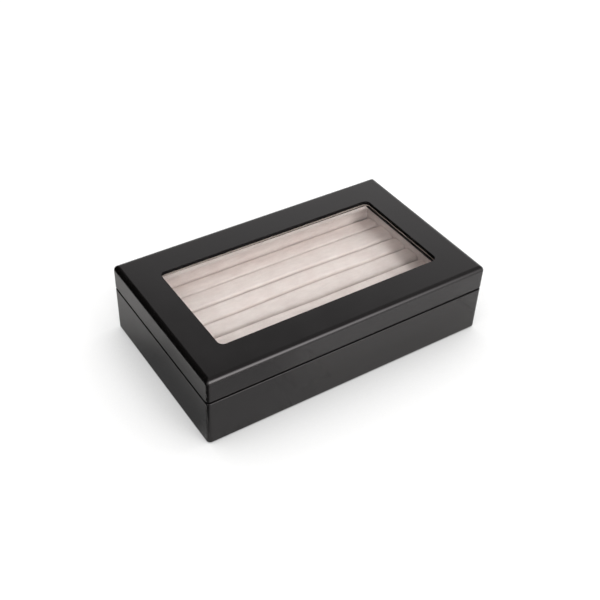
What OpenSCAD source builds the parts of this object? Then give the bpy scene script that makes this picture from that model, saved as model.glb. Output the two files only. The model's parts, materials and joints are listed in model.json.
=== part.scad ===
// Cufflink box: a lacquered box with a glazed, hinged lid over a row of soft rolls.
// Millimetres, +Z up. The origin is the middle of the underside, and the front faces -Y.

/* [Box] */
// Length of the box, left to right
box_w = 240; // [216:1:320]
// Depth of the box, front to back
box_d = 144; // [120:1:200]
// Height of the base walls, from their underside to the rim
base_h = 38.4; // [30:0.1:60]
// Height of the lid, from its rim to its top face
lid_h = 20; // [17:0.1:40]
// Gap between the rim of the base and the rim of the lid
seam_gap = 0.6; // [0.1:0.05:1]
// Thickness of the walls of the base and the lid
wall_t = 10; // [9.5:0.5:12]
// Radius of the upright outer corners
corner_r = 3; // [1:0.5:6]
// Radius of the rounded edge round the top of the lid
lid_edge_r = 3; // [1:0.5:6]
// Thickness of the floor panel
floor_t = 5; // [3:0.5:8]
// How far the floor panel reaches into the rebate under the walls
floor_lap = 4; // [2:0.5:6]
// Thickness of the felt under the box
felt_t = 1; // [0.6:0.2:2]
// Distance from the edge of the felt to the outside of the box
felt_inset = 3; // [2:0.5:8]

/* [Window] */
// Width of the border at the left and right of the window
border_x = 25.5; // [18:0.1:50]
// Width of the border in front of and behind the window
border_y = 26.4; // [18:0.1:40]
// Radius of the corners of the window
window_r = 4.5; // [2:0.5:12]
// Height of the black edge above the glass
window_lip = 2.9; // [2:0.1:6]
// Width of the ledge round the window that the glass lies against
glass_lap = 4; // [3:0.5:6]
// Thickness of the glass
glass_t = 2; // [1.6:0.2:4]
// Room left round the edge of the glass
glass_room = 0.3; // [0.1:0.1:0.6]
// Thickness of the seal between the glass and the beads
seal_t = 0.3; // [0.2:0.1:1.2]
// Height of the beads that hold the glass from below
bead_t = 2.55; // [1.5:0.05:4]

/* [Lining] */
// Thickness of the suede-covered cards on the inside of the walls
liner_t = 2; // [1.5:0.25:3]
// How far those cards stop short of each rim
liner_drop = 0.5; // [0.3:0.1:2]
// Thickness of the lining frame round the window, inside the lid
ceiling_t = 1.2; // [0.8:0.2:2]
// How far that frame stays back from the window opening
ceiling_setback = 1; // [0.5:0.25:3]
// Thickness of the card on the floor, under the rolls
board_t = 2; // [1.5:0.5:4]

/* [Rolls] */
// Number of soft rolls, side by side from back to front
roll_count = 7; // [5:1:9]
// Height of a roll above the floor card
roll_h = 25.4; // [18:0.2:30]
// Height of the rounded crown on top of a roll
roll_crown = 7; // [4:0.5:8]
// Gap between two rolls
roll_gap = 0.3; // [0.2:0.1:1]
// Gap between the end of a roll and the lining
roll_end_gap = 0.3; // [0.2:0.1:1]
// Radius of the rounded ends of the crown
roll_end_r = 5; // [2:0.5:8]
// Thickness of the suede round the foam
suede_t = 0.8; // [0.5:0.1:1.5]

/* [Hinges] */
// Distance from each end of the box to the middle of its hinge
hinge_inset = 50; // [40:1:60]
// Length of a hinge along the back
hinge_len = 30; // [24:1:40]
// Distance of the hinge axis in from the back face
axis_inset = 2.2; // [2.1:0.05:2.6]
// Radius of the hinge barrel
barrel_r = 2; // [1.6:0.05:2.1]
// Radius of the hinge pin
pin_r = 0.8; // [0.5:0.05:1]
// Running gap round the pin in the knuckle of the lid
pin_clear = 0.05; // [0.02:0.01:0.1]
// Thickness of a hinge leaf
leaf_t = 1.2; // [1:0.1:1.6]
// Reach of a leaf from the hinge axis towards the inside of the box
leaf_reach = 6.8; // [6.4:0.1:7.2]
// Gap between hinge parts that turn past each other
hinge_gap = 0.3; // [0.2:0.05:0.5]
// Room left round a leaf in its mortise
mortise_room = 0.1; // [0.05:0.05:0.3]
// Opening angle at which the chamfers along the back meet and stop the lid
open_deg = 95; // [80:1:110]
// Angle left between the stop chamfers when the lid is open
stop_spare = 1; // [0.3:0.1:2]
// Radius of the shank of a hinge screw
screw_r = 0.8; // [0.6:0.05:1]
// Radius of the head of a hinge screw
screw_head_r = 1.6; // [1.3:0.05:1.9]
// Length of a hinge screw
screw_len = 8; // [5:0.5:9]
// Distance from a screw to the end of its leaf
screw_end = 5; // [3:0.5:8]
// Room round a screw in its holes
screw_room = 0.02; // [0.01:0.01:0.05]
// Width of the slot in a screw head
slot_w = 0.5; // [0.3:0.1:0.8]
// Depth of the slot in a screw head
slot_deep = 0.4; // [0.2:0.1:0.6]

/* [Hidden] */
$fn = 64;

// How far a cutting shape runs past the face that it opens
over = 1;

// Heights above the surface that the box stands on
floor_z = felt_t;
board_z = floor_z + floor_t;
roll_z = board_z + board_t;
rim_z = felt_t + base_h;
axis_z = rim_z + seam_gap / 2;
lid_z = rim_z + seam_gap;
top_z = lid_z + lid_h;

// The lid's panel, from the top down: lip, glass, seal, beads
top_t = window_lip + glass_t + seal_t + bead_t;
panel_z = top_z - top_t;
bead_z = panel_z;
seal_z = bead_z + bead_t;
glass_z = seal_z + seal_t;
ceiling_z = panel_z - ceiling_t;

// Plan sizes
axis_y = box_d / 2 - axis_inset;
cavity_w = box_w - 2 * wall_t;
cavity_d = box_d - 2 * wall_t;
window_w = box_w - 2 * border_x;
window_d = box_d - 2 * border_y;
rebate_w = window_w + 2 * glass_lap;
rebate_d = window_d + 2 * glass_lap;

// The rolls share the depth between the linings
roll_pitch = (cavity_d - 2 * liner_t) / roll_count;
roll_w = roll_pitch - roll_gap;
roll_len = cavity_w - 2 * liner_t - 2 * roll_end_gap;
crown_h = min(roll_crown, roll_w / 2);
crown_r = (roll_w * roll_w / 4 + crown_h * crown_h) / (2 * crown_h);

// The hinge: two knuckles of the base outside one knuckle of the lid
hinge_x = box_w / 2 - hinge_inset;
knuckle_x = hinge_len / 6;
base_knuckles = [[-hinge_len / 2, -knuckle_x - hinge_gap / 2], [knuckle_x + hinge_gap / 2, hinge_len / 2]];
lid_knuckles = [[-knuckle_x + hinge_gap / 2, knuckle_x - hinge_gap / 2]];
leaf_back = barrel_r + hinge_gap;
screw_y = -(leaf_reach + leaf_back) / 2;
screw_xs = [-hinge_len / 2 + screw_end, hinge_len / 2 - screw_end];
leaf_z = seam_gap / 2;
head_h = screw_head_r - screw_r;
stop_deg = (open_deg + stop_spare) / 2;

black_lacquer = [0.07, 0.07, 0.07];
black_felt = [0.05, 0.05, 0.05];
beige_suede = [0.85, 0.78, 0.75];
cream_foam = [0.93, 0.9, 0.82];
grey_card = [0.6, 0.57, 0.53];
clear_glass = [0.86, 0.92, 0.9, 0.35];
pale_seal = [0.68, 0.64, 0.6];
bright_nickel = [0.76, 0.75, 0.72];

SIDES = ["front", "back", "left", "right"];
HANDS = ["left", "right"];
ROLLS = [1:roll_count];

function is_long(side) = side == "front" || side == "back";
function turn_of(side) = side == "front" ? 0 : side == "back" ? 180 : side == "left" ? -90 : 90;
function hand_x(hand) = hand == "left" ? -hinge_x : hinge_x;
function roll_y(i) = (cavity_d / 2 - liner_t) - (i - 0.5) * roll_pitch;

// A rectangle with round corners, about its middle
module rounded_rect(w, d, r) {
    square([w - 2 * r, d], center = true);
    square([w, d - 2 * r], center = true);
    for (x = [-1, 1], y = [-1, 1])
        translate([x * (w / 2 - r), y * (d / 2 - r)])
            circle(r);
}

// A standing profile w wide with its two upper corners rounded, from below up to h
module round_topped(w, h, r, below = 0) {
    translate([-w / 2, -below])
        square([w, h - r + below]);
    translate([-w / 2 + r, -below])
        square([w - 2 * r, h + below]);
    for (x = [-1, 1])
        translate([x * (w / 2 - r), h - r])
            circle(r);
}

// One mitred strip of a w by d frame, from inset a to inset b of its outline
module mitred_strip(side, w, d, a, b) {
    half = (is_long(side) ? w : d) / 2;
    out = (is_long(side) ? d : w) / 2;
    rotate(turn_of(side))
        polygon([[a - half, a - out], [half - a, a - out], [half - b, b - out], [b - half, b - out]]);
}

// Carries a profile in Y and Z along X
module along_x(length) {
    rotate([90, 0, 90])
        linear_extrude(length, center = true)
            children();
}

// Carries a profile in X and Z along Y
module along_y(length) {
    rotate([90, 0, 0])
        linear_extrude(length, center = true)
            children();
}

// A mitred wall with its share of the round upright corners
module wall_blank(side, z, h) {
    translate([0, 0, z])
        linear_extrude(h)
            intersection() {
                rounded_rect(box_w, box_d, corner_r);
                mitred_strip(side, box_w, box_d, 0, wall_t);
            }
}

module floor_blank() {
    translate([0, 0, floor_z + floor_t / 2])
        cube([cavity_w + 2 * floor_lap, cavity_d + 2 * floor_lap, floor_t], center = true);
}

// A suede-covered card against one wall
module liner_card(side, z, h) {
    color(beige_suede)
        translate([0, 0, z])
            linear_extrude(h)
                mitred_strip(side, box_w, box_d, wall_t, wall_t + liner_t);
}

// Places the lid's half of the hinge line, or the base's half, which mirrors it
module on_hinge_line(lid_half) {
    translate([0, axis_y, axis_z])
        mirror([0, 0, lid_half ? 0 : 1])
            children();
}

module x_cylinder(r, x0, x1) {
    translate([x0, 0, 0])
        rotate([0, 90, 0])
            cylinder(r = r, h = x1 - x0);
}

// The chamfer along the back rim, which meets its other half when the lid is open
module stop_chamfer() {
    run = axis_inset + over;
    along_x(box_w + 2 * over)
        polygon([[0, 0], [run, run * tan(stop_deg)], [run, -over], [0, -over]]);
}

// What the two hinges take out of a back wall
module hinge_mortises() {
    half = hinge_len / 2 + mortise_room;
    reach = leaf_reach + mortise_room;
    for (hand = HANDS)
        translate([hand_x(hand), 0, 0]) {
            translate([-half, -reach, -over])
                cube([2 * half, reach, over + leaf_z + leaf_t]);
            x_cylinder(leaf_back, -half, half);
            for (x = screw_xs)
                translate([x, screw_y, 0])
                    cylinder(r = screw_r + screw_room, h = leaf_z + screw_len + screw_room);
        }
}

// What is cut from the rim of one wall, which is nothing at the front
module rim_cuts(side, lid_half) {
    on_hinge_line(lid_half) {
        if (side != "front")
            stop_chamfer();
        if (side == "back")
            hinge_mortises();
    }
}

// A leaf with its knuckles, as it lies in the lid
module hinge_leaf(knuckles, bore_r) {
    color(bright_nickel)
        difference() {
            union() {
                translate([-hinge_len / 2, -leaf_reach, leaf_z])
                    cube([hinge_len, leaf_reach - leaf_back, leaf_t]);
                for (k = knuckles) {
                    translate([k[0], -leaf_reach, leaf_z])
                        cube([k[1] - k[0], leaf_reach, leaf_t]);
                    x_cylinder(barrel_r, k[0], k[1]);
                }
            }
            x_cylinder(bore_r, -hinge_len / 2 - over, hinge_len / 2 + over);
            for (x = screw_xs)
                translate([x, screw_y, leaf_z]) {
                    cylinder(r1 = screw_head_r + screw_room, r2 = screw_r + screw_room, h = head_h);
                    cylinder(r = screw_r + screw_room, h = leaf_t + over);
                }
        }
}

// A countersunk wood screw as it sits in the lid, with its head down
module hinge_screw() {
    tip_h = 2 * screw_r;
    difference() {
        union() {
            cylinder(r1 = screw_head_r, r2 = screw_r, h = head_h);
            cylinder(r = screw_r, h = screw_len - tip_h);
            translate([0, 0, screw_len - tip_h])
                cylinder(r1 = screw_r, r2 = 0, h = tip_h);
        }
        translate([-screw_head_r - over, -slot_w / 2, -over])
            cube([2 * (screw_head_r + over), slot_w, over + slot_deep]);
    }
}

module hinge_screws(lid_half) {
    color(bright_nickel)
        on_hinge_line(lid_half)
            for (hand = HANDS, x = screw_xs)
                translate([hand_x(hand) + x, screw_y, leaf_z])
                    hinge_screw();
}

// The cross-section of a roll: straight sides under a round crown, all taken in by skin
module roll_section(skin, below) {
    half = roll_w / 2 - skin;
    arc_z = roll_h - crown_r;
    arc_r = crown_r - skin;
    side_h = arc_z + sqrt(max(arc_r * arc_r - half * half, 0));
    translate([-half, -below])
        square([2 * half, side_h + below]);
    intersection() {
        translate([0, arc_z])
            circle(arc_r);
        translate([-half, side_h])
            square([2 * half, roll_h - side_h]);
    }
}

// A roll with its crown rounded off at both ends, all taken in by skin
module roll_form(skin, below = 0) {
    intersection() {
        along_x(roll_len - 2 * skin)
            roll_section(skin, below);
        along_y(roll_w)
            round_topped(roll_len - 2 * skin, roll_h - skin, roll_end_r - skin, below);
    }
}

module base_wall(side) {
    color(black_lacquer)
        difference() {
            wall_blank(side, floor_z, base_h);
            floor_blank();
            rim_cuts(side, false);
        }
}

module base_floor() {
    color(black_lacquer)
        floor_blank();
}

module base_felt() {
    color(black_felt)
        linear_extrude(felt_t)
            rounded_rect(box_w - 2 * felt_inset, box_d - 2 * felt_inset, corner_r);
}

module cushion_board() {
    color(grey_card)
        translate([0, 0, board_z + board_t / 2])
            cube([cavity_w, cavity_d, board_t], center = true);
}

module base_liner(side) {
    liner_card(side, roll_z, rim_z - liner_drop - roll_z);
}

module cushion_roll(i) {
    color(beige_suede)
        translate([0, roll_y(i), roll_z])
            difference() {
                roll_form(0);
                roll_form(suede_t, over);
            }
}

module roll_foam(i) {
    color(cream_foam)
        translate([0, roll_y(i), roll_z])
            roll_form(suede_t);
}

module hinge_base_leaf(hand) {
    on_hinge_line(false)
        translate([hand_x(hand), 0, 0])
            hinge_leaf(base_knuckles, pin_r);
}

module hinge_lid_leaf(hand) {
    on_hinge_line(true)
        translate([hand_x(hand), 0, 0])
            hinge_leaf(lid_knuckles, pin_r + pin_clear);
}

module hinge_pin(hand) {
    color(bright_nickel)
        translate([hand_x(hand), axis_y, axis_z])
            x_cylinder(pin_r, -hinge_len / 2, hinge_len / 2);
}

// The panel's round outer edge is where three round-edged blocks meet
module lid_top_panel() {
    color(black_lacquer)
        translate([0, 0, panel_z])
            difference() {
                intersection() {
                    linear_extrude(top_t)
                        rounded_rect(box_w, box_d, corner_r);
                    along_x(box_w)
                        round_topped(box_d, top_t, lid_edge_r);
                    along_y(box_d)
                        round_topped(box_w, top_t, lid_edge_r);
                }
                translate([0, 0, -over])
                    linear_extrude(top_t + 2 * over)
                        rounded_rect(window_w, window_d, window_r);
                translate([0, 0, (top_t - window_lip - over) / 2])
                    cube([rebate_w, rebate_d, top_t - window_lip + over], center = true);
            }
}

module lid_wall(side) {
    color(black_lacquer)
        difference() {
            wall_blank(side, lid_z, panel_z - lid_z);
            rim_cuts(side, true);
        }
}

module window_seal() {
    color(pale_seal)
        translate([0, 0, seal_z])
            linear_extrude(seal_t)
                difference() {
                    square([rebate_w - 2 * glass_room, rebate_d - 2 * glass_room], center = true);
                    rounded_rect(window_w, window_d, window_r);
                }
}

module window_glass() {
    color(clear_glass)
        translate([0, 0, glass_z + glass_t / 2])
            cube([rebate_w - 2 * glass_room, rebate_d - 2 * glass_room, glass_t], center = true);
}

module glass_bead(side) {
    color(black_lacquer)
        translate([0, 0, bead_z])
            linear_extrude(bead_t)
                mitred_strip(side, rebate_w, rebate_d, 0, glass_lap);
}

module lid_ceiling_liner() {
    color(beige_suede)
        translate([0, 0, ceiling_z])
            linear_extrude(ceiling_t)
                difference() {
                    square([cavity_w, cavity_d], center = true);
                    rounded_rect(window_w + 2 * ceiling_setback, window_d + 2 * ceiling_setback, window_r);
                }
}

module lid_liner(side) {
    liner_card(side, lid_z + liner_drop, ceiling_z - lid_z - liner_drop);
}

for (side = SIDES) {
    base_wall(side);
    base_liner(side);
    lid_wall(side);
    lid_liner(side);
    glass_bead(side);
}
for (i = ROLLS) {
    cushion_roll(i);
    roll_foam(i);
}
for (hand = HANDS) {
    hinge_base_leaf(hand);
    hinge_lid_leaf(hand);
    hinge_pin(hand);
}
base_floor();
base_felt();
cushion_board();
hinge_screws(false);  // base_hinge_screws
lid_top_panel();
window_seal();
window_glass();
lid_ceiling_liner();
hinge_screws(true);  // lid_hinge_screws
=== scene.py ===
import json
import math
import bmesh
import bpy
import numpy as np
from mathutils import Matrix, Vector


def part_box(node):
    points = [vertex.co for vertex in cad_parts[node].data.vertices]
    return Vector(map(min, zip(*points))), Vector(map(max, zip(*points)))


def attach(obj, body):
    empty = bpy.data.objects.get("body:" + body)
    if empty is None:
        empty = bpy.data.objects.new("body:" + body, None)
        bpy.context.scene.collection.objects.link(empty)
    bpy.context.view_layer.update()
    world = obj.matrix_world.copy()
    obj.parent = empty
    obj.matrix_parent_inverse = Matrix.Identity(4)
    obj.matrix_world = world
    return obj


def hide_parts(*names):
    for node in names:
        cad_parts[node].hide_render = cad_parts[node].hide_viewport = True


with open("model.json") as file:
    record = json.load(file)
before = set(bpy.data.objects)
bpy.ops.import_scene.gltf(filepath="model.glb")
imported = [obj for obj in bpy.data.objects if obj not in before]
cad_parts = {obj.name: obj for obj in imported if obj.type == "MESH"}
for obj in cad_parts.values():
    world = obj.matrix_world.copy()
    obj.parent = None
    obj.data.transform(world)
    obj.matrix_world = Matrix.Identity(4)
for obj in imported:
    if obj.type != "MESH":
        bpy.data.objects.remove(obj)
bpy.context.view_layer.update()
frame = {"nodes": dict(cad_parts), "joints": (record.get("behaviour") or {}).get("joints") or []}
mm = 0.001               # Blender works in metres, the sizes below are millimetres
sides = {"front": 0, "right": 90, "back": 180, "left": 270}   # turn of each side about the box's middle
print("frame loaded:", len(frame["nodes"]), "nodes")


def nodeBox(name):
    # lowest and highest corner of a CAD node, in millimetres
    return tuple(np.array(corner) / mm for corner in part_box(name))


# Main sizes, all taken from the frame
halfLength = nodeBox("base_right_wall")[1][0]
halfDepth = nodeBox("base_back_wall")[1][1]
footZ, rimZ = nodeBox("base_front_wall")[0][2], nodeBox("base_front_wall")[1][2]
lidRimZ, panelZ = nodeBox("lid_front_wall")[0][2], nodeBox("lid_front_wall")[1][2]
topZ = nodeBox("lid_top_panel")[1][2]
wallT = nodeBox("base_front_wall")[1][1] - nodeBox("base_front_wall")[0][1]
linerT = nodeBox("base_front_liner")[1][1] - nodeBox("base_front_liner")[0][1]
floorTopZ = nodeBox("base_floor")[1][2]
floorLap = nodeBox("base_floor")[1][0] - halfLength + wallT
windowX, windowY = -nodeBox("glass_left_bead")[1][0], -nodeBox("glass_front_bead")[1][1]
rebateX, rebateY = -nodeBox("glass_left_bead")[0][0], -nodeBox("glass_front_bead")[0][1]
axisY, axisZ = np.array(frame["joints"][0]["pos_m"])[1:] / mm


# Mesh helpers

def softOutline(corners, steps=6, support=0.12):
    # A closed outline from its corners (inset, height, radius): a round corner is an arc between the two
    # places where it touches its sides, with one more point just outside each, which keeps the flats flat
    spots = np.array(corners, float)[:, :2]
    points = []
    for k, (_, _, radius) in enumerate(corners):
        spot = spots[k]
        if radius == 0:
            points.append(spot[None])
            continue
        before, after = spots[k - 1] - spot, spots[(k + 1) % len(corners)] - spot
        before, after = before / np.linalg.norm(before), after / np.linalg.norm(after)
        half = np.arccos(np.clip(before @ after, -1, 1)) / 2
        reach, sweep = radius / np.tan(half), np.pi - 2 * half
        middle = spot + (before + after) / np.linalg.norm(before + after) * radius / np.sin(half)
        first, last = spot + before * reach - middle, spot + after * reach - middle
        s = np.linspace(0, 1, steps + 1)[:, None]
        arc = middle + (first * np.sin((1 - s) * sweep) + last * np.sin(s * sweep)) / np.sin(sweep)
        points += [(spot + before * (reach + support))[None], arc, (spot + after * (reach + support))[None]]
    return np.vstack(points)


def gridFaces(rows, cols, ringRows=False):
    # Four-sided faces between the points of a grid whose columns close into a ring, as its rows may too
    i, j = np.meshgrid(np.arange(rows if ringRows else rows - 1), np.arange(cols), indexing="ij")
    nextI, nextJ = (i + 1) % rows, (j + 1) % cols
    quads = np.stack([i * cols + j, nextI * cols + j, nextI * cols + nextJ, i * cols + nextJ], -1)
    return quads.reshape(-1, 4).tolist()


def endFaces(rows, cols):
    # One face over each open end of a grid whose columns close into a ring
    return [list(range(cols))[::-1], list(range((rows - 1) * cols, rows * cols))]


weld = {"merge": 1e-6, "sliver": 1e-7}   # metres: closer points become one, shorter edges are taken out


def makePiece(name, grid, material, body, nodes, ringRows=False, sharp=35, second=None, isSecond=None,
              paintedShade=None):
    # A grid of points in millimetres becomes one closed mesh: doubles merged, faces turned outwards. The
    # marked faces of the grid get the second material, and its points keep how much painted shade darkens the
    # suede there
    rows, cols = grid.shape[:2]
    faces = gridFaces(rows, cols, ringRows) + ([] if ringRows else endFaces(rows, cols))
    mesh = bpy.data.meshes.new(name)
    mesh.from_pydata((grid.reshape(-1, 3) * mm).tolist(), [], faces)
    mesh.materials.append(material)
    if second:
        mesh.materials.append(second)
        index = np.zeros(len(faces), int)
        index[:rows * cols if ringRows else (rows - 1) * cols] = isSecond.ravel()
        mesh.polygons.foreach_set("material_index", index)
    if paintedShade is not None:
        shaded = np.broadcast_to(paintedShade, (rows, cols)).ravel()
        mesh.attributes.new("paintedShade", "FLOAT", "POINT").data.foreach_set("value", shaded)
    work = bmesh.new()
    work.from_mesh(mesh)
    bmesh.ops.remove_doubles(work, verts=work.verts, dist=weld["merge"])
    bmesh.ops.dissolve_degenerate(work, edges=work.edges, dist=weld["sliver"])
    bmesh.ops.recalc_face_normals(work, faces=work.faces)
    work.to_mesh(mesh)
    work.free()
    mesh.shade_smooth()
    mesh.set_sharp_from_angle(angle=math.radians(sharp))
    piece = bpy.data.objects.new(name, mesh)
    bpy.context.scene.collection.objects.link(piece)
    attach(piece, body)
    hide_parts(*nodes)
    return piece


def mitredBar(outline, halfX, halfY, cornerR, side, alongX=(), bendSteps=10, support=0.2):
    # The outline (inset, height) carried along one side of a rounded rectangle and mitred at both ends: the
    # stations pass half of one corner's arc, the straight and half of the next arc, and where the inset is
    # past the corner's radius the path is cut off at the mitre
    inset, height = outline.T
    long = side in ("front", "back")
    reach, out = (halfX, halfY) if long else (halfY, halfX)
    bend = np.linspace(np.pi / 4, 0, bendSteps + 1) if cornerR else np.zeros(1)
    straight = np.sort(np.concatenate([[cornerR + support - reach, reach - cornerR - support], alongX]))
    ends = np.full(bend.size, reach - cornerR)
    centre = np.concatenate([-ends, straight, ends])
    swing = np.concatenate([-bend, np.zeros(straight.size), bend[::-1]])
    arm = np.maximum(cornerR - inset, 0)
    x = centre[:, None] + arm * np.sin(swing)[:, None]
    y = -(out - np.maximum(cornerR, inset)) - arm * np.cos(swing)[:, None]
    limit = np.where(inset > cornerR, reach - inset, np.inf)
    x = np.clip(x, -limit, limit)
    turn = math.radians(sides[side])
    return np.stack([x * math.cos(turn) - y * math.sin(turn),
                     x * math.sin(turn) + y * math.cos(turn),
                     np.broadcast_to(height, x.shape)], -1)


def roundedLoop(halfX, halfY, radius, z, steps=10, support=0.2):
    # A rounded rectangle at one height: four arcs in turn, each with a point on the straights next to it
    turn = np.arange(4)[:, None] * np.pi / 2 + np.linspace(0, np.pi / 2, steps + 1)
    signX, signY = np.array([[1, -1, -1, 1], [1, 1, -1, -1]])[:, :, None]
    x = signX * (halfX - radius) + radius * np.cos(turn)
    y = signY * (halfY - radius) + radius * np.sin(turn)
    first, last = turn[:, :1], turn[:, -1:]
    x = np.hstack([x[:, :1] + support * np.sin(first), x, x[:, -1:] - support * np.sin(last)]).ravel()
    y = np.hstack([y[:, :1] - support * np.cos(first), y, y[:, -1:] + support * np.cos(last)]).ravel()
    return np.stack([x, y, np.full(x.shape, z)], -1)


# Material helpers

def hexColour(text):
    # sRGB hex to linear: small values are divided by 12.92, the rest go through the 2.4 power
    srgb = np.array([int(text[k:k + 2], 16) for k in (1, 3, 5)]) / 255
    linear = np.where(srgb > 0.04045, ((srgb + 0.055) / 1.055) ** 2.4, srgb / 12.92)
    return (*linear.tolist(), 1.0)


def perMm(size):
    # the Scale that gives a texture on Object coordinates features of this many millimetres
    return 1 / (size * mm)


def addNode(tree, kind, settings, links=None):
    # a node with its socket values or properties, and what is linked into its sockets
    node = tree.nodes.new(kind)
    for key, value in settings.items():
        if isinstance(key, int) or key in node.inputs:
            node.inputs[key].default_value = value
        else:
            setattr(node, key, value)
    for key, source in (links or {}).items():
        tree.links.new(source, node.inputs[key])
    return node


def newMaterial(name):
    material = bpy.data.materials.new(name)
    material.use_nodes = True
    material.node_tree.nodes.clear()
    return material, material.node_tree


def finishMaterial(tree, shader):
    addNode(tree, "ShaderNodeOutputMaterial", {}, {"Surface": shader.outputs[0]})


def objectPlace(tree):
    return addNode(tree, "ShaderNodeTexCoord", {}).outputs["Object"]


def drawnOut(tree, place, scaleX):
    # coordinates that draw a pattern out along X
    mapping = addNode(tree, "ShaderNodeMapping", {"Scale": (scaleX, 1.0, 1.0)}, {"Vector": place})
    return mapping.outputs["Vector"]


def noise(tree, place, size, detail, **more):
    # noise with features of this many millimetres
    settings = {"Scale": perMm(size), "Detail": detail, **more}
    return addNode(tree, "ShaderNodeTexNoise", settings, {"Vector": place}).outputs["Fac"]


def spread(tree, value, low, high, toLow, toHigh):
    # a value's range from low to high, stretched to another range
    settings = {"From Min": low, "From Max": high, "To Min": toLow, "To Max": toHigh}
    return addNode(tree, "ShaderNodeMapRange", settings, {"Value": value}).outputs["Result"]


def blend(tree, first, second, share):
    # a colour between two sRGB colours
    settings = {"data_type": "RGBA", 6: hexColour(first), 7: hexColour(second)}
    return addNode(tree, "ShaderNodeMix", settings, {0: share}).outputs[2]


def relief(tree, height, strength, depth):
    # a bump of this depth in millimetres
    settings = {"Strength": strength, "Distance": depth * mm}
    return addNode(tree, "ShaderNodeBump", settings, {"Height": height}).outputs["Normal"]


def product(tree, first, second):
    return addNode(tree, "ShaderNodeMath", {"operation": "MULTIPLY"}, {0: first, 1: second}).outputs[0]


def satinLacquer():
    # Black polyester lacquer on board, sprayed and rubbed to satin: a deep black that shows mostly what it
    # mirrors, softened, with faint clouds where the rubbing was uneven and a trace of orange peel
    material, tree = newMaterial("satinBlackLacquer")
    place = objectPlace(tree)
    clouds, peel = noise(tree, place, 24, 4.0), noise(tree, place, 1.6, 2.0)
    shader = addNode(tree, "ShaderNodeBsdfPrincipled", {"IOR": 1.5, "Specular Tint": hexColour("#fff9fa")},
                     {"Base Color": blend(tree, "#0a0909", "#100f0f", clouds),
                      "Roughness": spread(tree, clouds, 0.3, 0.7, 0.17, 0.23),
                      "Normal": relief(tree, peel, 0.01, 0.02)})
    finishMaterial(tree, shader)
    return material


def mattPaint():
    # Black undercoat, brushed on and left unpolished, in the window's edge, the seam and on the beads: matt,
    # with faint streaks of 3 mm
    material, tree = newMaterial("brushedBlackUndercoat")
    streaks = noise(tree, objectPlace(tree), 3, 3.0)
    shader = addNode(tree, "ShaderNodeBsdfPrincipled", {"Roughness": 0.7, "Specular IOR Level": 0.12},
                     {"Base Color": blend(tree, "#060505", "#0d0b0b", streaks)})
    finishMaterial(tree, shader)
    return material


def brushedSuede():
    # Microfibre suede, woven and sanded: matt and warm, with patches where the nap lies another way, faint
    # strokes along the rolls and a short pile that lightens at a glance. Where a piece asks for it, painted
    # shade
    # darkens its colour: on the front of the rolls, along the upper edge of the base's cards and on the strip
    # turned up at the back. The real pile is finer than the render can show, so it is drawn at 0.7 mm
    material, tree = newMaterial("sandedMicrofibreSuede")
    place = objectPlace(tree)
    patches = noise(tree, place, 14, 3.0, Roughness=0.55)
    strokes = noise(tree, drawnOut(tree, place, 0.22), 2.6, 3.0, Roughness=0.6)
    pile = noise(tree, place, 0.7, 3.0, Roughness=0.7)
    ground = blend(tree, "#e3d7d3", "#ebe2de", spread(tree, patches, 0.32, 0.68, 0.0, 1.0))
    laid, grain = spread(tree, strokes, 0.25, 0.75, 0.93, 1.05), spread(tree, pile, 0.2, 0.8, 0.92, 1.06)
    # painted shade, read from the points of the piece: the share by which its colour is darkened
    paintedShade = addNode(tree, "ShaderNodeAttribute", {"attribute_name": "paintedShade"}).outputs["Fac"]
    shaded = addNode(tree, "ShaderNodeMath", {"operation": "SUBTRACT", 0: 1.0}, {1: paintedShade}).outputs[0]
    shade = product(tree, product(tree, laid, grain), shaded)
    colour = addNode(tree, "ShaderNodeVectorMath", {"operation": "SCALE"}, {0: ground, "Scale": shade})
    shader = addNode(tree, "ShaderNodeBsdfPrincipled",
                     {"Roughness": 0.95, "Specular IOR Level": 0.15, "Sheen Weight": 0.4,
                      "Sheen Roughness": 0.5, "Sheen Tint": hexColour("#f2e6e0")},
                     {"Base Color": colour.outputs["Vector"], "Normal": relief(tree, pile, 0.35, 0.15)})
    finishMaterial(tree, shader)
    return material


def clearGlass():
    # Float glass, polished and coated against reflections: it bends what is seen through it and mirrors only
    # a little, more at a glancing angle, with the faintest smears. Light from lamps and from other surfaces
    # passes straight through to what lies below
    material, tree = newMaterial("coatedFloatGlass")
    smears = spread(tree, noise(tree, objectPlace(tree), 35, 3.0), 0.45, 0.75, 0.0, 0.03)
    bending = addNode(tree, "ShaderNodeBsdfRefraction", {"IOR": 1.5, "Color": hexColour("#fdfdfd")},
                      {"Roughness": smears})
    mirroring = addNode(tree, "ShaderNodeBsdfGlass", {"IOR": 1.5, "Color": hexColour("#fefefe")},
                        {"Roughness": smears})
    pane = addNode(tree, "ShaderNodeMixShader", {0: 0.25}, {1: bending.outputs[0], 2: mirroring.outputs[0]})
    through = addNode(tree, "ShaderNodeBsdfTransparent", {"Color": hexColour("#fdfdfd")})
    path = addNode(tree, "ShaderNodeLightPath", {})
    lighting = addNode(tree, "ShaderNodeMath", {"operation": "MAXIMUM"},
                       {0: path.outputs["Is Shadow Ray"], 1: path.outputs["Is Diffuse Ray"]})
    shader = addNode(tree, "ShaderNodeMixShader", {},
                     {0: lighting.outputs[0], 1: pane.outputs[0], 2: through.outputs[0]})
    finishMaterial(tree, shader)
    return material


def brightNickel():
    # Nickel-plated steel, tumbled: a warm pale metal, bright, with fine rubbing marks along the hinge
    material, tree = newMaterial("tumbledNickelPlate")
    marks = noise(tree, drawnOut(tree, objectPlace(tree), 0.08), 0.35, 4.0)
    shader = addNode(tree, "ShaderNodeBsdfPrincipled", {"Metallic": 1.0},
                     {"Base Color": blend(tree, "#b9b4a9", "#cdc9c0", marks),
                      "Roughness": spread(tree, marks, 0.3, 0.7, 0.18, 0.34)})
    finishMaterial(tree, shader)
    return material


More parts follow.
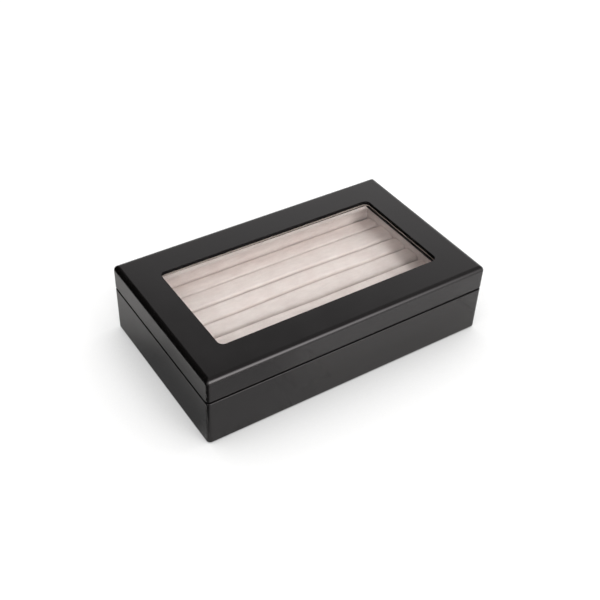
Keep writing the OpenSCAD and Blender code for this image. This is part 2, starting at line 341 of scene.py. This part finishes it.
def pressedFelt():
    # Black wool felt, pressed: matt, with a loose fibre grain, drawn at 0.8 mm so that it shows
    material, tree = newMaterial("pressedWoolFelt")
    fibres = noise(tree, objectPlace(tree), 0.8, 5.0, Roughness=0.75)
    shader = addNode(tree, "ShaderNodeBsdfPrincipled",
                     {"Roughness": 1.0, "Specular IOR Level": 0.1, "Sheen Weight": 0.3, "Sheen Roughness": 0.6},
                     {"Base Color": blend(tree, "#0d0d0d", "#232222", fibres),
                      "Normal": relief(tree, fibres, 0.6, 0.3)})
    finishMaterial(tree, shader)
    return material


def greyBoard():
    # Grey board, pulped and rolled: matt grey-brown with darker flecks of about 1.5 mm
    material, tree = newMaterial("rolledGreyBoard")
    flecks = noise(tree, objectPlace(tree), 1.5, 5.0, Roughness=0.7)
    shader = addNode(tree, "ShaderNodeBsdfPrincipled", {"Roughness": 0.9},
                     {"Base Color": blend(tree, "#857d74", "#aaa298", flecks)})
    finishMaterial(tree, shader)
    return material


def paleSeal():
    # Clear PVC strip, extruded and gone slightly milky: a pale line with a soft shine, mottled over 4 mm
    material, tree = newMaterial("extrudedMilkyPvc")
    milk = noise(tree, objectPlace(tree), 4, 2.0)
    shader = addNode(tree, "ShaderNodeBsdfPrincipled", {"Roughness": 0.45},
                     {"Base Color": blend(tree, "#b0a29a", "#c2b4ac", milk)})
    finishMaterial(tree, shader)
    return material


lacquer, matt, suede, glass = satinLacquer(), mattPaint(), brushedSuede(), clearGlass()
nickel, felt, board, seal = brightNickel(), pressedFelt(), greyBoard(), paleSeal()
print("materials made")


# Case: the mitred walls of the base and the lid

caseLook = {
    "cornerR": 3.0,        # upright outer corners
    "footEase": 0.8,       # rounding where the walls meet the table
    "rimEase": 0.5,        # rounding at the seam
    "seamRoom": (0.7, 0.35),   # how far the base's and the lid's rim stay back, so that the seam shows dark
    "seamBand": 0.1,       # faces that lie this near to a rim's height are matt
    "innerEase": 0.4,      # rounding inside the rim
    "edgeR": 4.0,          # round edge of the lid's top
    "edgePoints": 13,      # points in its arc
    "edgeFlat": 0.2,       # from that edge to the loops that keep the flats beside it flat
    "windowR": 4.5,        # corners of the window
    "windowEase": 0.15,    # rounding of the window's upper edge
    "windowPoints": 5,     # points in its arc
    "windowFlat": 0.15,    # from that edge to the loops beside it
    "rebateR": 0.5,        # corners of the rebate for the glass
    "mattRows": 6,         # last rows of the panel's faces, from the window's edge on, which are matt
}
hingeBed = {
    "stopAngle": 48.0,     # slope of the stop face behind the hinge axis, degrees
    "stopRoom": 0.1,       # room kept between the two stop faces
    "room": 0.1,           # room round a leaf in its bed
    "leafDepth": 1.5,      # from the hinge axis to the floor of the bed
    "barrelRoom": 0.3,     # room round the barrel
    "rows": (1.0, 5.0, 0.25),   # insets of the rows across the rim where the barrels lie: first, end, step
    "step": 0.01,          # from a sudden change in the rim to the rows or stations on both its sides
}
hingeX = [np.array(nodeBox(hand + "_hinge_base_leaf"))[:, 0] for hand in ("left", "right")]
leafFrontY = nodeBox("left_hinge_base_leaf")[0][1] - hingeBed["room"]
barrelR = nodeBox("left_hinge_base_leaf")[1][1] - axisY + hingeBed["barrelRoom"]


def cutBackRim(grid, up):
    # Measured away from the axis (up is 1 in the lid and -1 in the base), no point of the rim stays nearer than
    # the stop face behind the axis and, between the ends of a hinge, the bed of its leaf and of its barrel
    x, y = grid[..., 0], grid[..., 1]
    behind = np.maximum(y - axisY + hingeBed["stopRoom"], 0)
    need = behind * math.tan(math.radians(hingeBed["stopAngle"]))
    barrel = np.sqrt(np.maximum(barrelR ** 2 - (y - axisY) ** 2, 0))
    leaf = np.where(y > leafFrontY, hingeBed["leafDepth"], 0)
    for first, last in hingeX:
        inBed = (x > first - hingeBed["room"]) & (x < last + hingeBed["room"])
        need = np.where(inBed, np.maximum(need, np.maximum(barrel, leaf)), need)
    grid[..., 2] = axisZ + up * np.maximum(up * (grid[..., 2] - axisZ), need)
    return grid


def rimRows(rim):
    # rows across the rim, close together where the hinge barrels lie in it
    step, edge = hingeBed["step"], halfDepth - leafFrontY
    insets = np.concatenate([np.arange(*hingeBed["rows"]), [edge - step, edge + step]])
    return [(inset, rim, 0) for inset in insets]


def wallStations(side):
    # places along a wall where its rim changes: close pairs at the ends of the hinge beds
    if side != "back":
        return ()
    step, room = hingeBed["step"], hingeBed["room"]
    ends = np.concatenate([[first - room, last + room] for first, last in hingeX])
    return np.concatenate([ends - step, ends + step])


baseRim, lidRim = rimZ - caseLook["seamRoom"][0], lidRimZ + caseLook["seamRoom"][1]
baseOutline = softOutline(
    [(0, footZ, caseLook["footEase"]), (0, baseRim, caseLook["rimEase"])] + rimRows(baseRim)
    + [(wallT, baseRim, caseLook["innerEase"]), (wallT, floorTopZ, 0), (wallT - floorLap, floorTopZ, 0),
       (wallT - floorLap, footZ, 0)])
lidOutline = softOutline(
    [(0, lidRim, caseLook["rimEase"]), (0, panelZ, 0), (wallT, panelZ, 0),
     (wallT, lidRim, caseLook["innerEase"])] + rimRows(lidRim)[::-1])
for side in sides:
    for body, outline, rim, up in (("base", baseOutline, baseRim, -1), ("lid", lidOutline, lidRim, 1)):
        bar = mitredBar(outline, halfLength, halfDepth, caseLook["cornerR"], side, wallStations(side))
        middle = (outline[:, 1] + np.roll(outline[:, 1], -1)) / 2
        onRim = np.broadcast_to(np.abs(middle - rim) < caseLook["seamBand"], (len(bar) - 1, len(outline)))
        makePiece(body + side.title() + "Wall", cutBackRim(bar, up), lacquer, body,
                  [body + "_" + side + "_wall"], second=matt, isSecond=onRim)
print("walls made")


# Lid panel: its round outer edge, the flat border and the window's edge with the ledge for the glass

glazing = {
    "room": 0.02,          # room above and below the glass
    "sealStandOut": 0.1,   # how far the strip shows past the window's edge
    "sealRound": 0.1,      # rounding of its edge
    "sealSideBack": 0.4,   # how far it lies further back at the left and right
    "beadEase": 0.3,       # rounding of the beads' lower edge
}


def lidPanel():
    # Loops from the underside out, up round the outer edge, across to the window, down its edge, out along the
    # ledge and down to the underside again
    edge, flat = caseLook["edgeR"], caseLook["edgeFlat"]
    ease, windowFlat = caseLook["windowEase"], caseLook["windowFlat"]
    ledgeZ = nodeBox("window_glass")[1][2] + glazing["room"]
    a = np.linspace(0, np.pi / 2, caseLook["edgePoints"])
    b = np.linspace(np.pi / 2, 0, caseLook["windowPoints"])
    outer = [(0, panelZ), (0, topZ - edge - flat)]
    outer += list(zip(edge * (1 - np.cos(a)), topZ - edge * (1 - np.sin(a)))) + [(edge + flat, topZ)]
    inner = [(ease + windowFlat, topZ)] + list(zip(ease * (1 - np.cos(b)), topZ - ease * (1 - np.sin(b))))
    inner += [(0, topZ - ease - windowFlat), (0, ledgeZ)]
    loops = [roundedLoop(halfLength - d, halfDepth - d, max(caseLook["cornerR"] - d, 0), z) for d, z in outer]
    loops += [roundedLoop(windowX + d, windowY + d, caseLook["windowR"] + d, z) for d, z in inner]
    loops += [roundedLoop(rebateX, rebateY, caseLook["rebateR"], z) for z in (ledgeZ, panelZ)]
    return np.array(loops)


panelGrid = lidPanel()
inWindow = np.zeros(panelGrid.shape[:2], bool)
inWindow[-caseLook["mattRows"]:] = True
makePiece("lidTopPanel", panelGrid, lacquer, "lid", ["lid_top_panel"], ringRows=True,
          second=matt, isSecond=inWindow)
print("lid panel made")


# Glazing: the strip that seals the glass, and the beads under it

def sealRing(outline):
    # The outline (distance out from the window's edge, height) carried round the window
    back, r = glazing["sealSideBack"], caseLook["windowR"]
    return np.array([roundedLoop(windowX + back + d, windowY + d, r + d, z) for d, z in outline])


sealLow, sealHigh = nodeBox("window_seal")
sealHigh[2] -= glazing["room"]
sealWide = sealHigh[0] - windowX - glazing["sealSideBack"]
sealOutline = softOutline([(-glazing["sealStandOut"], sealLow[2], glazing["sealRound"]),
                           (-glazing["sealStandOut"], sealHigh[2], glazing["sealRound"]),
                           (sealWide, sealHigh[2], 0), (sealWide, sealLow[2], 0)], steps=4, support=0.05)
makePiece("windowSeal", sealRing(sealOutline), seal, "lid", ["window_seal"], ringRows=True)
beadLow, beadHigh = nodeBox("glass_front_bead")[0][2], nodeBox("glass_front_bead")[1][2]
beadWide = rebateX - windowX
beadOutline = softOutline([(0, beadLow, 0), (0, beadHigh, 0), (beadWide, beadHigh, 0),
                           (beadWide, beadLow, glazing["beadEase"])], steps=4, support=0.05)
for side in sides:
    makePiece("glass" + side.title() + "Bead", mitredBar(beadOutline, rebateX, rebateY, 0, side), matt, "lid",
              ["glass_" + side + "_bead"])
print("glazing made")


# Lining: suede-covered cards with soft edges

lining = {
    "edge": 0.9,           # round edges of the cards on the walls
    "wallEdge": 0.2,       # their edges at the wall
    # painted shade along the upper edge of the cards in the base, darkest on the right: the share by which
    # their colour is darkened
    "paintedEdgeShade": {"front": 0.2, "back": 0.2, "left": 0.2, "right": 0.36},
    "edgeFade": 9.0,       # how far down that reaches
    "ceilingEdge": 0.7,    # round lower edge of the frame round the window
    "ceilingPoints": 7,    # points in its arc
    "ceilingFlat": 0.2,    # from that edge to the loop that keeps the underside flat
    "ceilingCorner": 0.1,  # outer corners of that frame
    "setback": 1.0,        # from the window's edge to that frame
    "turnUp": 0.3,         # thickness of the suede that is turned up over the back bead
    "turnUpRoom": 0.01,    # between that suede and the bead
    "turnUpStations": 25,  # places along it
    "turnUpPoints": 7,     # points in the arc of its upper edge
    "turnUpShort": (0.2, 0.9),   # how far it stops short of the seal, at its left and right end
    "turnUpPaintedShade": 0.36,     # painted shade on it: the share by which its colour is darkened
}


def linerCard(side, low, high):
    # A card with round edges on the open side, standing against its wall, and the painted shade along its upper
    # edge, which fades downwards
    back, face, edge, wallEdge = wallT, wallT + linerT, lining["edge"], lining["wallEdge"]
    fadeZ = max(high - lining["edgeFade"], (low + high) / 2)
    outline = softOutline([(back, low, wallEdge), (back, high, wallEdge), (face, high, edge), (face, fadeZ, 0),
                           (face, low, edge)], steps=6, support=0.1)
    shaded = np.clip((outline[:, 1] - fadeZ) / (high - fadeZ), 0, 1) * lining["paintedEdgeShade"][side]
    return mitredBar(outline, halfLength, halfDepth, 0, side), shaded


for side in sides:
    for body in ("base", "lid"):
        node = body + "_" + side + "_liner"
        low, high = nodeBox(node)
        card, shaded = linerCard(side, low[2], high[2])
        makePiece(body + side.title() + "Liner", card, suede, body, [node],
                  paintedShade=shaded if body == "base" else None)


def ceilingFrame():
    # Loops from the walls in along the underside, round the soft edge beside the window and out again on top
    low, high = (corner[2] for corner in nodeBox("lid_ceiling_liner"))
    edge, a = lining["ceilingEdge"], np.linspace(0, np.pi / 2, lining["ceilingPoints"])
    inner = [(edge + lining["ceilingFlat"], low)]
    inner += list(zip(edge * (1 - np.sin(a)), low + edge * (1 - np.cos(a)))) + [(0, high)]
    back, r, corner = lining["setback"], caseLook["windowR"], lining["ceilingCorner"]
    walls = [roundedLoop(halfLength - wallT, halfDepth - wallT, corner, z) for z in (low, high)]
    loops = [roundedLoop(windowX + back + d, windowY + back + d, r + d, z) for d, z in inner]
    return np.array([walls[0]] + loops + [walls[1]])


def turnedUp():
    # A thin strip in front of the back bead, with a round upper edge that drops slowly from left to right
    thick, reach = lining["turnUp"], windowX - lining["turnUp"]
    x = np.linspace(-reach, reach, lining["turnUpStations"])[:, None]
    a = np.linspace(0, np.pi, lining["turnUpPoints"])
    out = np.concatenate([[thick], thick / 2 * (1 + np.cos(a)), [0]])
    rise = np.concatenate([[0], thick / 2 * np.sin(a), [0]])
    foot = nodeBox("lid_ceiling_liner")[0][2]
    short = np.interp(x, (-reach, reach), lining["turnUpShort"])
    top = sealLow[2] - thick / 2 - short
    atFoot = np.isin(np.arange(out.size), (0, out.size - 1))
    z = np.where(atFoot, foot, top + rise)
    y = np.broadcast_to(windowY - lining["turnUpRoom"] - out, z.shape)
    return np.stack([np.broadcast_to(x, z.shape), y, z], -1)


makePiece("lidCeilingLiner", ceilingFrame(), suede, "lid", ["lid_ceiling_liner"], ringRows=True)
# the turned-up strip is darkened all over by painted shade
makePiece("lidTurnedUpSuede", turnedUp(), suede, "lid", ["lid_ceiling_liner"],
          paintedShade=lining["turnUpPaintedShade"])
print("lining made")


# Rolls: suede stretched over foam

rollLook = {
    "count": 7,
    "gap": 0.45,           # between two rolls
    "crown": 7.0,          # height of the round top
    "fullness": 3.0,       # 2 is an ellipse, more is fuller
    "endRound": 1.6,       # rounding of the top at both ends
    "endDrop": (0.35, 0.65),   # shares of that rounding by which the crown and the sides get lower
    "drawIn": 0.15,        # share of that rounding by which the sides get closer
    # places along the rolls, and how far each boundary lies to the back of its even place there
    "leanAt": (-55.0, 15.0, 78.0),
    "lean": ((-2.2, -2.2, -2.2), (-0.9, -0.4, -0.3), (-2.5, -2.3, -3.3), (-2.5, -1.4, -2.5),
             (-1.6, -2.7, -2.9), (-1.2, -2.0, -2.3), (-0.5, -1.0, -1.2), (0.0, 0.0, 0.0)),
    "sink": (1.7, 0.0, 0.0, 0.0, 0.0, 0.0, 0.0),   # how far each roll stays below the full height
    "waver": 0.12,         # unevenness along a roll
    "waves": 3, "waveLength": (28, 90), "seed": 40,   # waves that add up to it, upwards and sideways
    "stations": 72, "endPoints": 9,   # rings along a roll, and at the rounding of each end
    "crownPoints": 33, "sidePoints": 6, "footPoints": 7,   # points round a ring
    # painted shade on the front of each roll: the share by which its colour is darkened
    "paintedShade": (0.07, 0.03, 0.02, 0.18, 0.18, 0.18, 0.18),
    "fill": 0.9,           # how tightly the covers are filled, from 0, slack, to 1, tight
}
clothLook = {
    "scale": 10.0,         # the cloth is worked out ten times larger, where it keeps steady
    "frames": 20,
    "pressure": 0.1,
    "held": 0.5,           # share of a roll's height that is glued to its neighbours and stays
    "cap": 0.6,            # farthest that a point may move
    "touch": 0.03,         # what is left between two rolls where they press against each other
    "least": 1e-9,         # keeps points that don't move from a division by zero
}


def boundary(number, x):
    # how far back the gap behind a roll lies along it: its even place, and its lean, eased from place to place
    at, lean = np.array(rollLook["leanAt"]), np.array(rollLook["lean"][number - 1])
    k = np.clip(np.searchsorted(at, x) - 1, 0, len(at) - 2)
    s = np.clip((x - at[k]) / (at[k + 1] - at[k]), 0, 1)
    return backY - pitch * (number - 1) + lean[k] + (lean[k + 1] - lean[k]) * s * s * (3 - 2 * s)


def rollGrid(number):
    # Rings of a superellipse crown on straight sides, carried along X: towards both ends a quarter circle takes
    # the crown down and draws the sides in, and slow waves along X lift the crown and push it sideways. Painted
    # shade grows smoothly from the top of the crown to its front, and is full on its front side
    low, high = nodeBox("cushion_roll_%d" % number)
    look = rollLook
    halfX, r = high[0], look["endRound"]
    a = np.linspace(np.pi / 2, 0, look["endPoints"])
    straight = np.linspace(r - halfX, halfX - r, look["stations"])[1:-1]
    x = np.concatenate([r - halfX - r * np.sin(a), straight, halfX - r + r * np.sin(a[::-1])])
    inset = np.concatenate([r * (1 - np.cos(a)), np.zeros(straight.size), r * (1 - np.cos(a[::-1]))])
    back, front = boundary(number, x)[:, None], boundary(number + 1, x)[:, None]
    wave, n = np.random.default_rng(look["seed"] + number), look["waves"]
    lengths, phases = wave.uniform(*look["waveLength"], 2 * n), wave.uniform(0, 2 * np.pi, 2 * n)
    ripple = np.sin(2 * np.pi * x[:, None] / lengths + phases)
    lift, push = ripple[:, :n].sum(1) / n * look["waver"], ripple[:, n:].sum(1) / n * look["waver"]
    t = np.linspace(0, np.pi, look["crownPoints"])
    across = np.sign(np.cos(t)) * np.abs(np.cos(t)) ** (2 / look["fullness"])
    rise = np.sin(t) ** (2 / look["fullness"])
    up = np.linspace(0, 1, look["sidePoints"])[:-1]
    foot = np.linspace(-1, 1, look["footPoints"])[1:-1]
    across = np.concatenate([np.ones(up.size), across, -np.ones(up.size), foot])
    sideShare = np.concatenate([up, np.ones(t.size), up[::-1], np.zeros(foot.size)])
    crownShare = np.concatenate([np.zeros(up.size), rise, np.zeros(up.size), np.zeros(foot.size)])
    half = (back - front - look["gap"]) / 2 - inset[:, None] * look["drawIn"]
    crownDrop, sideDrop = (inset[:, None] * share for share in look["endDrop"])
    crown = look["crown"] - crownDrop
    side = high[2] - low[2] - look["crown"] - sideDrop - look["waver"] - look["sink"][number - 1]
    height = side * sideShare + crown * crownShare
    share = (height / (high[2] - low[2])) ** 2
    y = (back + front) / 2 + half * across + push[:, None] * share * crownShare
    z = low[2] + height + lift[:, None] * share
    down = np.clip(2 * t / np.pi - 1, 0, 1)
    shaded = down * down * (3 - 2 * down)
    paintedShade = np.concatenate([np.zeros(up.size), shaded, np.ones(up.size), np.zeros(foot.size)])
    return np.stack([np.broadcast_to(x[:, None], y.shape), y, z], -1), paintedShade * look["paintedShade"][number - 1]


def puffUp(grids):
    # The covers as cloth: all rolls in one object, held by their feet and ends and blown up from inside with no
    # gravity. Each point then moves as far as the cloth did there, up to the cap
    rows, cols = grids[0].shape[:2]
    points = np.concatenate([grid.reshape(-1, 3) for grid in grids])
    each = gridFaces(rows, cols) + endFaces(rows, cols)
    faces = [[k * rows * cols + corner for corner in face] for k in range(len(grids)) for face in each]
    mesh = bpy.data.meshes.new("rollCloth")
    mesh.from_pydata((points * mm * clothLook["scale"]).tolist(), [], faces)
    covers = bpy.data.objects.new("rollCloth", mesh)
    scene = bpy.context.scene
    scene.collection.objects.link(covers)
    low, high = (corner[2] for corner in nodeBox("cushion_roll_1"))
    held = np.zeros((len(grids), rows, cols), bool)
    held[:, [0, -1]] = True
    held |= np.array(grids)[..., 2] < low + clothLook["held"] * (high - low)
    covers.vertex_groups.new(name="held").add(np.flatnonzero(held).tolist(), 1.0, "REPLACE")
    cloth = covers.modifiers.new("cloth", "CLOTH")
    cloth.settings.vertex_group_mass = "held"
    cloth.settings.use_pressure, cloth.settings.uniform_pressure_force = True, clothLook["pressure"]
    cloth.settings.effector_weights.gravity = 0
    cloth.point_cache.frame_end = clothLook["frames"]
    for frameNumber in range(1, clothLook["frames"] + 1):
        scene.frame_set(frameNumber)
    blown = np.empty(points.size)
    covers.evaluated_get(bpy.context.evaluated_depsgraph_get()).data.vertices.foreach_get("co", blown)
    bpy.data.objects.remove(covers)
    bpy.data.meshes.remove(mesh)
    scene.frame_set(1)
    move = blown.reshape(-1, 3) / (mm * clothLook["scale"]) - points
    far = np.linalg.norm(move, axis=1, keepdims=True)
    move *= np.minimum(1, clothLook["cap"] / np.maximum(far, clothLook["least"]))
    print("cloth moved the covers by %.2f mm, at most %.2f mm" % (np.median(far[~held.ravel()]), far.max()))
    swollen = (points + move).reshape(len(grids), rows, cols, 3)
    for number, grid in enumerate(swollen, 1):
        x, touch = grid[..., 0], clothLook["touch"]
        np.clip(grid[..., 1], boundary(number + 1, x) + touch, boundary(number, x) - touch, out=grid[..., 1])
        np.clip(x, grids[0][..., 0].min(), grids[0][..., 0].max(), out=grid[..., 0])
    return list(swollen)


backY = nodeBox("base_back_liner")[0][1]
pitch = 2 * backY / rollLook["count"]
numbers = range(1, rollLook["count"] + 1)
grids, paintedShades = zip(*(rollGrid(number) for number in numbers))
for number, grid, paintedShade in zip(numbers, puffUp(grids), paintedShades):
    nodes = ["cushion_roll_%d" % number, "roll_foam_%d" % number]
    roll = makePiece("cushionRoll%d" % number, grid, suede, "base", nodes, sharp=60, paintedShade=paintedShade)
print("rolls made")


# CAD nodes whose shape is right get their finish

finishes = {
    lacquer: ["base_floor"],
    felt: ["base_felt"],
    board: ["cushion_board"],
    glass: ["window_glass"],
    nickel: ["base_hinge_screws", "lid_hinge_screws"] + [hand + part for hand in ("left", "right")
             for part in ("_hinge_base_leaf", "_hinge_lid_leaf", "_hinge_pin")],
}
for material, names in finishes.items():
    for name in names:
        node = frame["nodes"][name]
        node.data.materials.clear()
        node.data.materials.append(material)
print("finishes set")


# Camera at the photograph's viewing angle

photoView = {
    "azimuth": -34.72, "elevation": 40.04, "roll": 2.61,      # degrees
    "distance": 737.7, "target": (-2.12, -4.11, 30.5),        # mm
    "lens": 57.91, "sensor": 36.0,                            # mm
    "clip": (0.01, 50),                                       # m
}


def placeCamera():
    # looks at the target from azimuth and elevation, turned about its own line of sight by the roll
    az, el, roll = (math.radians(photoView[key]) for key in ("azimuth", "elevation", "roll"))
    back = Vector((math.sin(az) * math.cos(el), -math.cos(az) * math.cos(el), math.sin(el)))
    level = (-back).cross(Vector((0, 0, 1))).normalized()
    upright = level.cross(-back)
    right = level * math.cos(roll) + upright * math.sin(roll)
    up = upright * math.cos(roll) - level * math.sin(roll)
    spot = (Vector(photoView["target"]) + back * photoView["distance"]) * mm
    lens = bpy.data.cameras.new("photoCamera")
    lens.lens, lens.sensor_width = photoView["lens"], photoView["sensor"]
    lens.clip_start, lens.clip_end = photoView["clip"]
    camera = bpy.data.objects.new("photoCamera", lens)
    camera.matrix_world = Matrix([*zip(right, up, back, spot), (0, 0, 0, 1)])
    bpy.context.scene.collection.objects.link(camera)
    bpy.context.scene.camera = camera


placeCamera()
print("camera placed")


# Studio: white floor and surroundings, soft boxes, and boards that only show where they are mirrored

studio = {
    "floorSize": 6.0,      # metres
    "paper": 0.73, "paperSeen": 0.18,   # how much light the floor sends back, to the scene and to the camera
    "glow": 0.97,          # light that the floor adds where the camera sees it
    "nook": 0.12, "nookPower": 0.9, "nookSamples": 12,   # reach (m) and depth of the shade round the foot
    "ambient": 0.08,       # light from the surroundings
    "mirrorLow": (0.55, 1.0), "mirrorHigh": (0.665, 0.35),   # sine of elevation, brightness in the lacquer
    "boxColour": "#fffefc",
    # place and aim (m), size (m), watts
    "boxes": {
        "frontBox": ((0.17, -0.67, 0.88), (0, 0, 0.03), (0.3, 0.3), 5.2),
        "lowBox": ((0.0, -1.03, 0.43), (0, 0, 0.03), (0.5, 0.5), 5.6),
        "leftLowBox": ((-0.48, -0.84, 0.56), (0, 0, 0.03), (0.5, 0.5), 2.6),
        "backBox": ((0.0, 0.74, 0.85), (0, 0, 0.03), (0.5, 0.5), 3.3),
        "rightBox": ((0.71, 0.0, 0.87), (0, 0, 0.03), (0.6, 0.6), 3.7),
        "leftBox": ((-0.81, 0.0, 0.77), (0, 0, 0.03), (0.5, 0.5), 1.6),
    },
    # place and aim (m), size (m), brightness in the lacquer, soft edge (m)
    "boards": {
        "leftBoard": ((-0.175, 0.25, 0.31), (0, 0.25, 0.31), (0.7, 0.58), 0.0, 0.001),
        "leftTopBoard": ((-0.09, 0.345, 0.42), (-0.09, 0, 0.06), (0.22, 0.35), 0.0, 0.05),
        "frontBoard": ((0.1, -0.72, 0.27), (0.1, 0, 0.05), (1.3, 1.1), 7.2, 0.65),
        # the cards lying on the floor are painted light and painted shade of the floor, which only the lacquer
        # mirrors
        "frontCard": ((0.25, -0.3575, 0.001), (0.25, -0.3575, 0), (0.58, 0.545), 1.03, 0.05),
        "frontLeftCard": ((-0.09, -0.11, 0.0015), (-0.09, -0.11, 0), (0.16, 0.12), 0.62, 0.04),
        "leftCard": ((-0.108, -0.015, 0.001), (-0.108, -0.015, 0), (0.116, 0.16), 0.18, 0.045),
        "cornerCard": ((-0.218, -0.16, 0.002), (-0.218, -0.16, 0), (0.2, 0.2), 0.02, 0.025),
        "rightCard": ((0.33, -0.02, 0.001), (0.33, -0.02, 0), (0.4, 0.2), 1.2, 0.02),
    },
}


def seenOrMirrored(tree, seen, mirrored, lighting):
    # one value for rays from the camera, also through glass, one (a number or a socket) for rays from mirroring
    # surfaces, and one for the light that falls on things
    path = addNode(tree, "ShaderNodeLightPath", {})
    sight = addNode(tree, "ShaderNodeMath", {"operation": "MAXIMUM"},
                    {0: path.outputs["Is Camera Ray"], 1: path.outputs["Is Transmission Ray"]})
    number = isinstance(mirrored, (int, float))
    other = addNode(tree, "ShaderNodeMix", {2: lighting, **({3: mirrored} if number else {})},
                    {0: path.outputs["Is Glossy Ray"], **({} if number else {3: mirrored})})
    return addNode(tree, "ShaderNodeMix", {3: seen}, {0: sight.outputs[0], 2: other.outputs[0]}).outputs[0]


def aimed(place, aim):
    # turns an object's -Z from its place towards the aim
    return (Vector(aim) - Vector(place)).to_track_quat("-Z", "Y").to_matrix().to_4x4()


def flatSheet(name, sizeX, sizeY, material, matrix):
    corners = [(sx * sizeX / 2, sy * sizeY / 2, 0) for sx, sy in ((-1, -1), (1, -1), (1, 1), (-1, 1))]
    mesh = bpy.data.meshes.new(name)
    mesh.from_pydata(corners, [], [(0, 1, 2, 3)])
    mesh.uv_layers.new(name="sheet").uv.foreach_set("vector", [0, 0, 1, 0, 1, 1, 0, 1])
    mesh.transform(matrix)
    mesh.materials.append(material)
    sheet = bpy.data.objects.new(name, mesh)
    bpy.context.scene.collection.objects.link(sheet)
    return sheet


def boardPaint(name, size, brightness, soft):
    # A painted board that fades out towards its edges: the smooth steps from both pairs of edges multiply
    paint, tree = newMaterial(name + "Paint")
    sheet = addNode(tree, "ShaderNodeUVMap", {"uv_map": "sheet"}).outputs[0]
    middle = addNode(tree, "ShaderNodeVectorMath", {"operation": "SUBTRACT", 1: (0.5, 0.5, 0)}, {0: sheet})
    away = addNode(tree, "ShaderNodeVectorMath", {"operation": "ABSOLUTE"}, {0: middle.outputs[0]})
    axes = addNode(tree, "ShaderNodeSeparateXYZ", {}, {0: away.outputs[0]})
    fades = [addNode(tree, "ShaderNodeMapRange",
                     {"interpolation_type": "SMOOTHSTEP", "From Min": 0.5, "From Max": 0.5 - soft / length},
                     {"Value": axes.outputs[axis]}) for axis, length in zip("XY", size)]
    shown = product(tree, fades[0].outputs[0], fades[1].outputs[0])
    light = addNode(tree, "ShaderNodeEmission", {"Strength": brightness})
    clear = addNode(tree, "ShaderNodeBsdfTransparent", {})
    finishMaterial(tree, addNode(tree, "ShaderNodeMixShader", {},
                                 {0: shown, 1: clear.outputs[0], 2: light.outputs[0]}))
    return paint


def layFloor():
    # white paper, whose own glow is shaded near the object, as its light is
    paper, tree = newMaterial("whitePaperFloor")
    sent = seenOrMirrored(tree, studio["paperSeen"], studio["paper"], studio["paper"])
    dull = addNode(tree, "ShaderNodeBsdfDiffuse", {}, {"Color": sent})
    nook = addNode(tree, "ShaderNodeAmbientOcclusion",
                   {"Distance": studio["nook"], "samples": studio["nookSamples"]})
    shade = addNode(tree, "ShaderNodeMath", {"operation": "POWER", 1: studio["nookPower"]},
                    {0: nook.outputs["AO"]})
    shown = seenOrMirrored(tree, studio["glow"], 0, 0)
    glow = addNode(tree, "ShaderNodeEmission", {}, {"Strength": product(tree, shown, shade.outputs[0])})
    finishMaterial(tree, addNode(tree, "ShaderNodeAddShader", {}, {0: dull.outputs[0], 1: glow.outputs[0]}))
    flatSheet("floor", studio["floorSize"], studio["floorSize"], paper, Matrix())


def setSurroundings():
    # what the lacquer mirrors falls off from the horizon upwards
    world = bpy.data.worlds.new("studio")
    bpy.context.scene.world = world
    world.use_nodes = True
    tree = world.node_tree
    tree.nodes.clear()
    direction = addNode(tree, "ShaderNodeTexCoord", {}).outputs["Generated"]
    height = addNode(tree, "ShaderNodeSeparateXYZ", {}, {0: direction})
    (lowZ, low), (highZ, high) = studio["mirrorLow"], studio["mirrorHigh"]
    graded = addNode(tree, "ShaderNodeMapRange",
                     {"interpolation_type": "SMOOTHSTEP", "From Min": lowZ, "From Max": highZ, "To Min": low,
                      "To Max": high}, {"Value": height.outputs["Z"]})
    strength = seenOrMirrored(tree, 1.0, graded.outputs[0], studio["ambient"])
    sky = addNode(tree, "ShaderNodeBackground", {"Color": (1, 1, 1, 1)}, {"Strength": strength})
    addNode(tree, "ShaderNodeOutputWorld", {}, {"Surface": sky.outputs[0]})


def hangBoxes():
    # soft boxes, which light things and aren't mirrored
    for name, (place, aim, size, watts) in studio["boxes"].items():
        lamp = bpy.data.lights.new(name, "AREA")
        lamp.shape, lamp.size, lamp.size_y, lamp.energy = "RECTANGLE", *size, watts
        lamp.color = hexColour(studio["boxColour"])[:3]
        box = bpy.data.objects.new(name, lamp)
        box.matrix_world = Matrix.Translation(place) @ aimed(place, aim)
        box.visible_glossy = box.visible_transmission = False
        bpy.context.scene.collection.objects.link(box)


def standBoards():
    # boards, which are mirrored and neither light nor shade things
    for name, (place, aim, size, brightness, soft) in studio["boards"].items():
        paint = boardPaint(name, size, brightness, soft)
        sheet = flatSheet(name, *size, paint, Matrix.Translation(place) @ aimed(place, aim))
        sheet.visible_camera = sheet.visible_diffuse = sheet.visible_shadow = False
        sheet.visible_transmission = False


layFloor()
setSurroundings()
hangBoxes()
standBoards()
bpy.context.scene.view_settings.view_transform = "Standard"
print("studio set")
